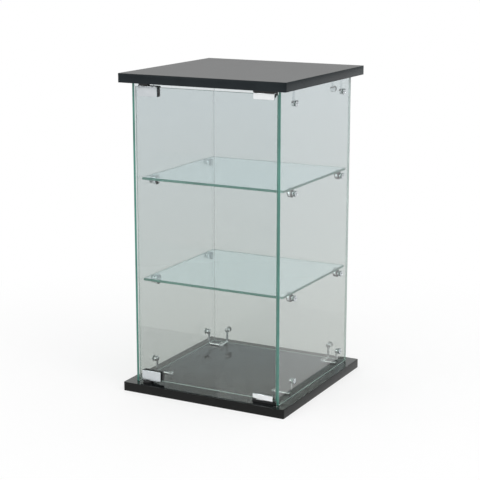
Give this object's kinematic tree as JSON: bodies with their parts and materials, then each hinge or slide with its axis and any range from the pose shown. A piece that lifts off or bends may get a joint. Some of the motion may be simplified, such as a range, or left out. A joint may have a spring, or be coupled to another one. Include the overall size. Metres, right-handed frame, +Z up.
{
  "type": "glass display case",
  "caption": "Upright counter-top glass display case with black boards above and below, glass shelves and a glass door on pivot hinges.",
  "frame": {"origin": "middle of the base board's underside", "axes": "+Z up, door on the -Y side, +X to the right as seen from the front"},
  "size_m": [0.36, 0.36, 0.64],
  "materials": {
    "board_laminate": "satin",
    "edge_band": "satin",
    "clear_glass": "polished",
    "shelf_glass": "polished",
    "clear_vinyl": "clear",
    "screw_zinc": "zinc plated",
    "steel": "turned",
    "magnet": "nickel plated",
    "black_zinc": "satin",
    "black_rubber": "matt",
    "black_plastic": "matt",
    "bright_chrome": "polished"
  },
  "bodies": {
    "case": {"base_board": "board_laminate", "base_edge_band": "edge_band", "top_board": "board_laminate", "top_edge_band": "edge_band", "left_panel": "clear_glass", "right_panel": "clear_glass", "back_panel": "clear_glass", "lower_shelf": "shelf_glass", "upper_shelf": "shelf_glass", "front_left_bottom_connector": "bright_chrome", "front_right_bottom_connector": "bright_chrome", "back_left_bottom_connector": "bright_chrome", "back_right_bottom_connector": "bright_chrome", "front_left_top_connector": "bright_chrome", "front_right_top_connector": "bright_chrome", "back_left_top_connector": "bright_chrome", "back_right_top_connector": "bright_chrome", "left_connector_bolts": "bright_chrome", "right_connector_bolts": "bright_chrome", "back_connector_bolts": "bright_chrome", "left_panel_washers": "clear_vinyl", "right_panel_washers": "clear_vinyl", "back_panel_washers": "clear_vinyl", "bottom_connector_screws": "screw_zinc", "top_connector_screws": "screw_zinc", "lower_front_left_support": "bright_chrome", "lower_front_right_support": "bright_chrome", "lower_back_left_support": "bright_chrome", "lower_back_right_support": "bright_chrome", "upper_front_left_support": "bright_chrome", "upper_front_right_support": "bright_chrome", "upper_back_left_support": "bright_chrome", "upper_back_right_support": "bright_chrome", "lower_support_sleeves": "bright_chrome", "upper_support_sleeves": "bright_chrome", "left_support_bolts": "bright_chrome", "right_support_bolts": "bright_chrome", "bottom_pivot_bush": "black_plastic", "top_pivot_bush": "black_plastic", "bottom_catch": "black_plastic", "top_catch": "black_plastic", "catch_magnets": "magnet", "bottom_catch_screws": "screw_zinc", "top_catch_screws": "screw_zinc"},
    "door": {"door_panel": "clear_glass", "bottom_hinge_body": "black_zinc", "top_hinge_body": "black_zinc", "bottom_hinge_cover": "bright_chrome", "top_hinge_cover": "bright_chrome", "bottom_hinge_pads": "black_rubber", "top_hinge_pads": "black_rubber", "hinge_grub_screws": "steel", "bottom_pivot_pin": "steel", "top_pivot_pin": "steel", "bottom_strike_clip": "bright_chrome", "top_strike_clip": "bright_chrome", "strike_clip_liners": "black_rubber"}
  },
  "joints": [
    {"name": "door_swing", "type": "hinge", "parent": "case", "child": "door", "pos_m": [-0.134, -0.1575, 0], "axis": [0, 0, -1], "range_deg": [0, 150]}
  ]
}
